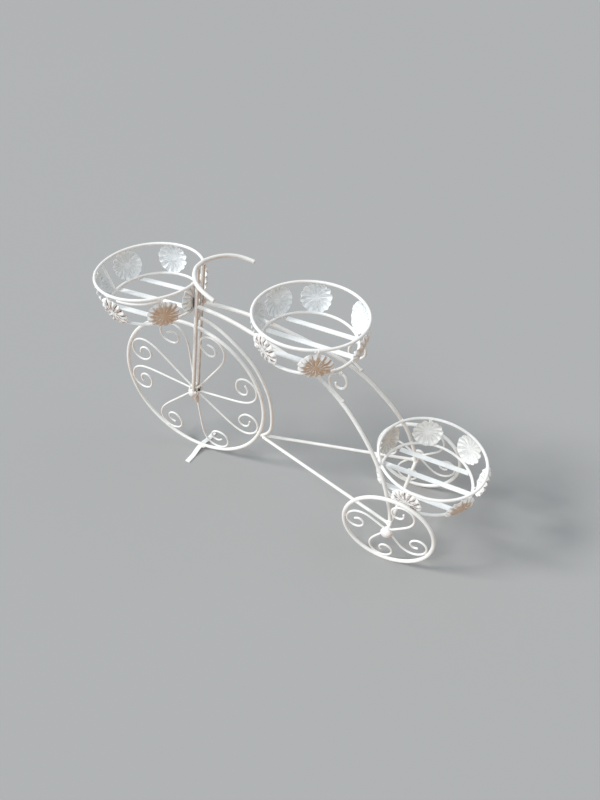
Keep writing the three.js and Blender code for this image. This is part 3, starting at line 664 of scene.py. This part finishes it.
# ------------------------------------------------------------------ rear wheels
HALF = TRACK + 4.0 + 0.3 + 3.2
p = cubic([(REAR_X, -HALF, REAR_Z), (REAR_X, HALF, REAR_Z)], 90)
make("rear_axle_bar", *rod(p, 4.0, 20, cut=0.1, thick=0.004), "frame_enamel", "frame", ["rear_axle"])
for side, sg, angles in (("left", -1, LEFT_SPOKES), ("right", 1, RIGHT_SPOKES)):
    body = f"rear_wheel_{side}"
    C = circle(REAR_X, sg * TRACK, REAR_Z, REAR_RIM_R, 160)
    C[:, 1] += wobble(160, 0.15, 4, True)
    make(f"rear_rim_{side}", *rod(C, RIM_ROD, 20, closed=True), "rim_enamel", body, [f"rear_wheel_rim_{side}"])
    s = Shape()
    for a in angles:
        s.add(*rod(scroll(REAR_SCROLL, a, REAR_X, sg * TRACK, REAR_Z, 110), SPOKE_ROD, 12, cut=0.5))
    hub = [(4.45, -4.0), (6.9, -4.0), (7.7, -3.5), (8.0, -2.6), (8.0, 2.6), (7.7, 3.5), (6.9, 4.0), (4.45, 4.0)]
    v, f = lathe(hub, 36)
    s.add(v + np.array([REAR_X, sg * TRACK, REAR_Z]), f)
    make(f"rear_scroll_spokes_{side}", s.verts(), s.f, "scroll_wire_enamel", body, [f"rear_wheel_spokes_{side}"])
    for i, a in enumerate(angles):
        x = math.radians(a - 1)
        weld(f"weld_rear_wheel_{side}", np.array([REAR_X + 8.6 * math.cos(x), sg * TRACK, REAR_Z + 8.6 * math.sin(x)]), (2.9, 2.8, 3.2), 200 + i,
             long_dir=(math.cos(x), 0, math.sin(x)))
        y = math.radians(a + 28)
        weld(f"weld_rear_wheel_{side}", np.array([REAR_X + 88.4 * math.cos(y), sg * TRACK, REAR_Z + 88.4 * math.sin(y)]), (2.0, 2.7, 4.6), 220 + i,
             long_dir=(-math.sin(y), 0, math.cos(y)), flat_dir=(math.cos(y), 0, math.sin(y)))
    v, f = turned(cap_profile_dome(12.3, 10.6, 4.45, 3.6), 44, sg)
    v = v + np.array([REAR_X, sg * (TRACK + 4.0 + 0.3), REAR_Z])
    make(f"rear_cap_{side}", v, f, "cap_enamel", "frame", [f"rear_axle_cap_{side}"])


# --------------------------------------------------------------------- baskets
def basket_matrix(x, z, lean, roll):
    return Matrix.Translation((x, 0, z)) @ Matrix.Rotation(math.radians(lean), 4, "Y") @ Matrix.Rotation(math.radians(roll), 4, "X")


def apply(m, v):
    a = np.array(m, float)
    return np.asarray(v, float) @ a[:3, :3].T + a[:3, 3]


def flower_mesh(seed, depth, disc=0.71, R=31.3, crumple=1.0):
    """Stamped daisy: x across, y up the wall, z out. Closed sheet 1.2 mm thick."""
    rng = np.random.default_rng(seed)
    nr, na = 28, 224
    spin = rng.uniform(-0.05, 0.05)
    ph = rng.uniform(0, 6.28, 12)
    t = 1.15
    th = np.arange(na) * 2 * math.pi / na + math.pi / 2
    # the petals are stamped a little unevenly
    turn = 14 * (th - math.pi / 2 + spin) + 0.34 * np.sin(3 * th + ph[4]) + 0.28 * np.sin(5 * th + ph[5])
    lobe = np.abs(np.cos(turn / 2))                     # 1 at a petal's middle, 0 in a valley
    pleat = np.abs(np.cos(turn))
    k = np.floor(turn / (2 * math.pi) + 0.5).astype(int) % 14
    size = rng.uniform(-0.022, 0.022, 14)[k] * lobe
    lift_ = rng.uniform(-0.55, 0.75, 14)[k] * lobe**1.5
    edge = R * (0.905 + 0.095 * lobe**0.72 + size)
    rr = np.r_[0.0, np.linspace(0.05, 1, nr) ** 0.9]
    front, gain = [], []
    for a in rr:
        r = edge * a
        # crowned disc, then petals that turn back towards the basket
        disc_z = depth * (1 - 0.20 * min(a / disc, 1) ** 2)
        drop = 0.0 if a <= disc else ((a - disc) / (1 - disc))
        z = np.full(na, disc_z) - (depth * 0.76) * (drop**1.3)
        inner = float(np.clip((a - 0.12) / 0.24, 0, 1))
        outer = float(np.clip((a - 0.60) / 0.26, 0, 1))
        press = (pleat**0.8 - 0.55) * 1.45 * inner * float(np.clip((1.0 - a) / 0.16, 0.15, 1)) + (lobe**0.6 - 0.72) * 1.1 * inner
        # the pleats are sharp inside the bowl and softer on the crown
        soft = 0.38 + 0.62 * outer
        gain.append((1 - soft) * press)
        z += press * soft
        z += (lobe**0.6 - 0.72) * 2.1 * outer
        z += lift_ * outer
        z -= 0.5 * math.exp(-((a - 0.20) / 0.06) ** 2)
        z += 0.45 * np.sin(2 * th + ph[0]) * a + 0.30 * np.sin(3 * th + ph[1]) * a**2
        # crumpled between the strokes of the press
        z += 0.26 * crumple * np.sin(6 * th + ph[2] + 5 * a) * np.sin(9 * a + ph[3]) * inner
        z += 0.20 * crumple * np.sin(11 * th + ph[6] - 7 * a) * np.sin(13 * a + ph[7]) * inner
        front.append(np.stack([r * np.cos(th), r * np.sin(th), z], 1))
    front[0] = np.tile(front[0].mean(0), (na, 1))
    fr = np.array(front)                                # (nr+1, na, 3)
    # back surface: the same sheet, one thickness in
    gain[0] = np.full(na, gain[0].mean())
    back = fr.copy()
    back[..., 2] += np.clip(np.array(gain), -0.6, 0.55) - t
    # rolled edge
    rim = (fr[-1] + back[-1]) / 2
    rim[:, :2] *= 1 + 0.35 / R
    v = [fr[0, 0][None]] + [fr[i] for i in range(1, nr + 1)] + [rim] + [back[i] for i in range(nr, 0, -1)] + [back[0, 0][None]]
    v = np.vstack(v)
    m = 2 * nr + 1
    us = np.r_[turn, turn[0] + 28 * math.pi] / (28 * math.pi)
    vs = np.r_[rr[1:], 1.0, rr[:0:-1]]

    def q(i, j):
        return 1 + i * na + j % na

    f, back, uv = [], [], []
    for j in range(na):
        mid = (us[j] + us[j + 1]) / 2
        f.append((0, q(0, j), q(0, j + 1)))
        uv += [(mid, 0.0), (us[j], vs[0]), (us[j + 1], vs[0])]
        f.append((len(v) - 1, q(m - 1, j + 1), q(m - 1, j)))
        uv += [(mid, 0.0), (us[j + 1], vs[m - 1]), (us[j], vs[m - 1])]
        back += [0, 1]
        for i in range(m - 1):
            f.append((q(i, j), q(i + 1, j), q(i + 1, j + 1), q(i, j + 1)))
            uv += [(us[j], vs[i]), (us[j], vs[i + 1]), (us[j + 1], vs[i + 1]), (us[j + 1], vs[i])]
            back.append(int(i >= nr))
    return v, f, back, uv


for name, bx, bz, lean, roll, top, bottom, slat_x, flowers in BASKETS:
    BM = basket_matrix(bx, bz, lean, roll)
    base = {"front": 300, "middle": 400, "rear": 500}[name]
    # rings; the front top ring is one rod whose ends lap beside each other
    lo = circle(0, 0, 0, bottom, 180, "z")
    lo[:, 2] += wobble(180, 0.2, 5, True)
    make(f"{name}_lower_ring", apply(BM, rod(lo, RING_ROD, 18, closed=True)[0]), rod(lo, RING_ROD, 18, closed=True)[1],
         "basket_ring_enamel", "frame", [f"{name}_basket_bottom_ring"])
    hi = circle(0, 0, RISE, top, 200, "z")
    hi[:, 2] += wobble(200, 0.25, 5, True)
    s = Shape()
    s.add(*rod(hi, RING_ROD, 18, closed=True))
    if name == "front":
        # the rod's tail laps under the ring before it is welded
        g = np.radians(np.linspace(271, 315, 60))
        h = np.linspace(0, 1, 60)
        s.add(*rod(np.stack([(top + 1.2) * np.cos(g), (top + 1.2) * np.sin(g), RISE - 4.4 - 3.0 * np.sin(math.pi * h)], 1), RING_ROD * 0.86, 16, cut=0.4))
    make(f"{name}_upper_ring", apply(BM, s.verts()), s.f, "basket_ring_enamel", "frame", [f"{name}_basket_top_ring"])
    # slats
    for side, y in SLAT_Y:
        reach = math.sqrt(bottom**2 - (abs(y) + SLAT_W / 2) ** 2) + RING_ROD * 0.6
        ends = (slat_x - reach, min(slat_x + reach, bottom + 1.8))
        q = np.array([(x, y, -(RING_ROD + 0.3 + SLAT_T / 2)) for x in np.linspace(*ends, 40)])
        q[:, 2] += 0.25 * np.cos(np.linspace(-1.5, 1.5, 40)) - 0.25
        v, f = strip(q, (0, 1, 0), SLAT_W, SLAT_T)
        make(f"{name}_slat_bar_{side}", apply(BM, v), f, "flat_bar_enamel", "frame", [f"{name}_basket_slat_{side}"])
        for e in (-1, 1):
            for k, dy in enumerate((-4.2, 0.4, 4.4)):
                yy = y + dy
                xx = e * (math.sqrt(bottom**2 - yy**2) - 1.0)
                weld(f"weld_{name}_basket", apply(BM, [(xx, yy, -2.9)])[0], (1.7, 2.0, 2.6), base + 3 * k + (e > 0) + int(y) + 60,
                     long_dir=(0, 1, 0), flat_dir=(0, 0, 1))
    # flowers
    slant = math.hypot(top - bottom, RISE)
    lift = math.asin((top - bottom) / slant)
    u = np.array([math.sin(lift), 0, math.cos(lift)])
    n = np.array([math.cos(lift), 0, -math.sin(lift)])
    for i, (deg, share, out_by, inside) in enumerate(flowers):
        A = np.array((BM @ Matrix.Rotation(math.radians(deg), 4, "Z")), float)
        side_t = np.array([0.0, 1.0, 0.0])
        close = name == "rear" and i == 5
        depth = 4.2 if close else 5.6
        off = -(RING_ROD + 1.6) if inside else RING_ROD - 0.6
        off = (off if not close else RING_ROD - 1.4) + out_by
        # the near-side flowers took the most knocks
        v, f, back, uv = flower_mesh(base + i, depth, crumple=3.6 if 240 < deg < 270 else 1.5)
        c = np.array([bottom, 0, 0]) + u * slant * share + n * off
        w = c + v[:, :1] * side_t + v[:, 1:2] * u + v[:, 2:3] * n
        s = Shape()
        s.add(w, f)
        # hanger tab from the top ring to the back of the top petals
        up = [np.array([bottom, 0, 0]) + u * (slant * share + 24.5 + (slant * (1 - share) - 24.5) * k / 5) + n * ((off + 1.0) * (1 - k / 5) + (RING_ROD - 0.3) * (-1 if inside else 1) * (k / 5)) for k in range(6)]
        tv, tf = strip(cubic(up, 12), (0, 1, 0), 4.6, 1.7, 0.5)
        s.add(tv, tf)
        # each flower takes the copy of the enamel whose painted reflection and painted shade suit the way it faces
        make(f"{name}_flower_{i + 1}", apply(A, s.verts()), s.f, "flower_enamel", "frame", [f"{name}_basket_flower_{i + 1}"], back + [1] * len(tf),
             uv + [(0.0, 0.05)] * sum(len(x) for x in tf),
             {316: "flower_shaded", 299.5: "flower_shaded", 320: "flower_shaded", 358: "flower_side", 356: "flower_grey",
              258.5: "flower_crease_shade", 244: "flower_crease_shade", 260: "flower_crease_shade"}.get(deg),
             "flower_back" if name != "rear" else "flower_back_dim" if deg == 158.5 else "flower_back_plain")
        sg = -1 if inside else 1
        for k, dy in enumerate((-4.0, 3.6)):
            ctop = np.array([bottom, dy * 0.7, 0]) + u * (slant - 0.6) + n * (sg * (RING_ROD - 0.4))
            cbot = np.array([bottom, dy, 0]) + u * 1.4 + n * (sg * (RING_ROD - 0.2))
            weld(f"weld_{name}_basket", apply(A, [ctop])[0], (1.5, 2.2, 2.2), base + 20 + 4 * i + k, long_dir=A[:3, 1], rough=0.2)
            weld(f"weld_{name}_basket", apply(A, [cbot])[0], (1.6, 2.1, 2.6), base + 21 + 4 * i + k, long_dir=A[:3, 1], rough=0.2)

# nose strut of the front basket
name, bx, bz, lean, roll, top, bottom, _s, _f = BASKETS[0]
A = np.array(basket_matrix(bx, bz, lean, roll) @ Matrix.Rotation(math.radians(189), 4, "Z"), float)
q = cubic([(bottom - 0.3, 0, 3.2), ((top + bottom) / 2, 0, RISE / 2), (top - 0.2, 0, RISE - 3.2)], 24)
s = Shape()
s.add(*strip(q, (0, 1, 0), 6.4, 1.2, 0.4))
for e in (-2.9, 2.9):
    s.add(*rod(q + np.array([-0.5, e, 0.0]), 1.05, 10, cut=0.4))
make("front_strut_bar", apply(A, s.verts()), s.f, "flat_bar_enamel", "frame", ["front_basket_strut"])

# ------------------------------------------------------------------ front foot
TOP = WHEEL_Z - (RIM_R + RIM_ROD) * TALL - 0.3
ys = np.linspace(-56, 56, 90)
kk = np.clip((np.abs(ys) - 5) / (37 - 5), 0, 1)
arch = (TOP - 2.6) * (0.5 + 0.5 * np.cos(math.pi * kk))
YAW = math.radians(4.55)
FOOT_X = -2.2
q = np.stack([FOOT_X + math.sin(YAW) * ys, math.cos(YAW) * ys, arch + 1.3], 1)
v, f = strip(q, (math.cos(YAW), -math.sin(YAW), 0), 12.0, 2.6, 0.5)
make("front_foot_strap", v, f, "flat_bar_enamel", "frame", ["front_foot"])
for k, (dx, dy) in enumerate(((-4.6, -4.4), (-1.0, -5.0), (3.0, -4.2), (-3.6, 4.2), (0.4, 4.8), (4.2, 4.0), (6.2, -2.0), (-6.4, 1.0))):
    weld("weld_front_foot", np.array([WHEEL_X + dx, dy, TOP + 1.1]), (2.5, 2.7, 3.4), 600 + k, long_dir=(1, 0.2 * dy, 0), flat_dir=(0, 0, 1), rough=0.24)

# --------------------------------------------------------- welds on the frame
for sg in (-1, 1):
    weld("weld_rear_axle", np.array([503.6, sg * 87.8, 99.6]), (6.0, 5.4, 5.0), 700 + sg, long_dir=(0, 1, 0))
    weld("weld_rear_axle", np.array([499.4, sg * 91.7, 97.9]), (5.0, 4.8, 5.2), 703 + sg, long_dir=(0, 1, 0))
    weld("weld_frame_foot", np.array([179.7, sg * 3.4, 117.0]), (4.6, 4.2, 5.4), 710 + sg, long_dir=(1, 0, 0))
    weld("weld_scroll_props", np.array([371.8, sg * 48.6, 341.4]), (3.4, 3.4, 4.2), 720 + sg, long_dir=(0.75, 0, -0.65))
    weld("weld_scroll_props", np.array([364.2, sg * 49.5, 405.1]), (3.2, 3.2, 4.4), 730 + sg, long_dir=(1, 0, 0))
weld("weld_frame_foot", np.array([172.4, 0, 119.4]), (4.4, 4.4, 5.0), 712, long_dir=(0.8, 0, 0.6))
weld("weld_fork", np.array([44.0, 0, 399.4]), (4.2, 6.4, 4.4), 714, long_dir=(0, 1, 0))
weld("weld_fork", np.array([43.1, 5.4, 399.6]), (3.6, 3.4, 4.0), 715, long_dir=(0, 0, 1))
weld("weld_fork", np.array([43.1, -5.4, 399.6]), (3.6, 3.4, 4.0), 716, long_dir=(0, 0, 1))


# where the rings cross the frame rods and the fork
for name, bx, bz, lean, roll, top, bottom, _s, _f in BASKETS:
    BM = basket_matrix(bx, bz, lean, roll)
    ring_lo = apply(BM, circle(0, 0, 0, bottom, 720, "z"))
    ring_hi = apply(BM, circle(0, 0, RISE, top, 720, "z"))
    for sg in (-1, 1):
        rod_path = cubic([(x, sg * y, z) for x, y, z in FRAME_PATH], 900)
        fork_path = cubic([(fork_x(200), sg * FORK_Y, 200), (fork_x(519), sg * FORK_Y, 519)], 600)
        for which, ring_ in (("lo", ring_lo), ("hi", ring_hi)):
            for path, reach in ((rod_path, 9.5), (fork_path, 12.0)):
                if path is fork_path and name != "front":
                    continue
                d = np.linalg.norm(path[:, None, :] - ring_[None, ::3, :], axis=2)
                # every separate place where ring and rod come close
                close = d.min(1)
                k = 1
                while k < len(close) - 1:
                    if close[k] < reach and close[k] <= close[k - 1] and close[k] <= close[k + 1]:
                        a = path[k]
                        b = ring_[::3][int(d[k].argmin())]
                        mid = (a + b) / 2
                        away = b - a
                        away /= max(np.linalg.norm(away), 1e-6)
                        tdir = path[min(k + 3, len(path) - 1)] - path[k - 1]
                        weld("weld_ring_seats", mid, (3.0, 3.4, 4.2), 800 + k + sg, long_dir=tdir, flat_dir=away)
                        k += 60
                    k += 1

for group, shape in WELDS.items():
    body = "rear_wheel_left" if group.endswith("wheel_left") else "rear_wheel_right" if group.endswith("wheel_right") else "frame"
    slot = {"weld_fork": "fork_enamel"}.get(group, "scroll_wire_enamel" if "wheel" in group or "front_hub" in group else "basket_ring_enamel" if "basket" in group else "frame_enamel")
    # the weld runs are painted brown shade and the dark lumps a painted shadow
    make(group, shape.verts(), shape.f, slot, body, finish={"weld_spoke_run": "weld_run_painted_shade", "weld_fork_run": "weld_run_painted_shade", "painted_shadow_lumps": "painted_shadow_dark"}.get(group))

# ------------------------------------------------------------------------ stage
bpy.ops.mesh.primitive_plane_add(size=60, location=(0, 0, -0.0002))
floor = bpy.context.object
floor.name = "floor"
fm = bpy.data.materials.new("floor_pale")
fm.use_nodes = True
fb = fm.node_tree.nodes["Principled BSDF"]
fb.inputs["Roughness"].default_value = 0.9
fb.inputs["Specular IOR Level"].default_value = 0.1
fn = fm.node_tree.nodes.new("ShaderNodeTexNoise")
fn.inputs["Scale"].default_value = 9.0
fr_ = fm.node_tree.nodes.new("ShaderNodeMix")
fr_.data_type = "RGBA"
fr_.inputs["A"].default_value = (0.352, 0.352, 0.35, 1)
fr_.inputs["B"].default_value = (0.366, 0.366, 0.364, 1)
fm.node_tree.links.new(fn.outputs["Fac"], fr_.inputs["Factor"])
fm.node_tree.links.new(fr_.outputs["Result"], fb.inputs["Base Color"])
floor.data.materials.append(fm)
floor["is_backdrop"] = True

world = bpy.data.worlds.new("studio")
bpy.context.scene.world = world
world.use_nodes = True
wt = world.node_tree
bg = wt.nodes["Background"]
wc = wt.nodes.new("ShaderNodeTexCoord")
wd = wt.nodes.new("ShaderNodeVectorMath")
wd.operation = "DOT_PRODUCT"
wd.inputs[1].default_value = Vector((0.9, -0.15, -0.25)).normalized()
wt.links.new(wc.outputs["Generated"], wd.inputs[0])
wr = wt.nodes.new("ShaderNodeMapRange")
wr.interpolation_type = "SMOOTHSTEP"
wr.inputs["From Min"].default_value = -0.35
wr.inputs["From Max"].default_value = 0.8
wt.links.new(wd.outputs["Value"], wr.inputs["Value"])
wm = wt.nodes.new("ShaderNodeMix")
wm.data_type = "RGBA"
wm.inputs["A"].default_value = (0.50, 0.535, 0.57, 1)
wm.inputs["B"].default_value = (0.30, 0.255, 0.22, 1)
wt.links.new(wr.outputs["Result"], wm.inputs["Factor"])
wt.links.new(wm.outputs["Result"], bg.inputs["Color"])
bg.inputs["Strength"].default_value = 0.95


def sun(name, toward, strength, angle, colour):
    """Soft far light shining from the given direction."""
    li = bpy.data.lights.new(name, "SUN")
    li.energy = strength
    li.angle = math.radians(angle)
    li.color = colour
    o = bpy.data.objects.new(name, li)
    bpy.context.scene.collection.objects.link(o)
    o.rotation_euler = (-Vector(toward)).to_track_quat("-Z", "Y").to_euler()
    return o


sun("key", (-0.70, -0.36, 0.62), 2.3, 14, (1.0, 0.99, 0.97))
sun("front", (-0.05, -0.62, 0.78), 1.1, 28, (0.90, 0.965, 1.0))
# light thrown back up by the ground, from the near right
sun("ground", (0.52, -0.52, -0.68), 0.85, 50, (1.0, 0.83, 0.66))
# pale light from behind the far side, on the inner faces of the baskets
sun("inner", (0.50, 0.35, 0.80), 0.40, 40, (0.88, 0.95, 1.0))
floor.visible_shadow = False

# ----------------------------------------------------------------------- camera
cam_data = bpy.data.cameras.new("camera")
cam = bpy.data.objects.new("camera", cam_data)
bpy.context.scene.collection.objects.link(cam)
cam_data.sensor_width = 36.0
cam_data.lens = 579.32 / 800 * 36.0
RIGHT = Vector((0.90903474, 0.4166759, 0.0060866))
DOWN = Vector((0.28600259, -0.61319722, -0.73633666))
AHEAD = Vector((-0.30308145, 0.67109639, -0.67658796))
rot = Matrix((RIGHT, -DOWN, -AHEAD)).transposed()
cam.matrix_world = Matrix.Translation(row((621.6, -788.6, 1055.3))) @ rot.to_4x4()
# the photo's centre lies half a pixel from the picture's
cam_data.shift_x, cam_data.shift_y = -0.35 / 800, 0.55 / 800
cam_data.clip_start, cam_data.clip_end = 0.05, 100
bpy.context.scene.camera = cam
bpy.context.scene.view_settings.view_transform = "Standard"
bpy.context.scene.view_settings.look = "None"

lo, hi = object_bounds()
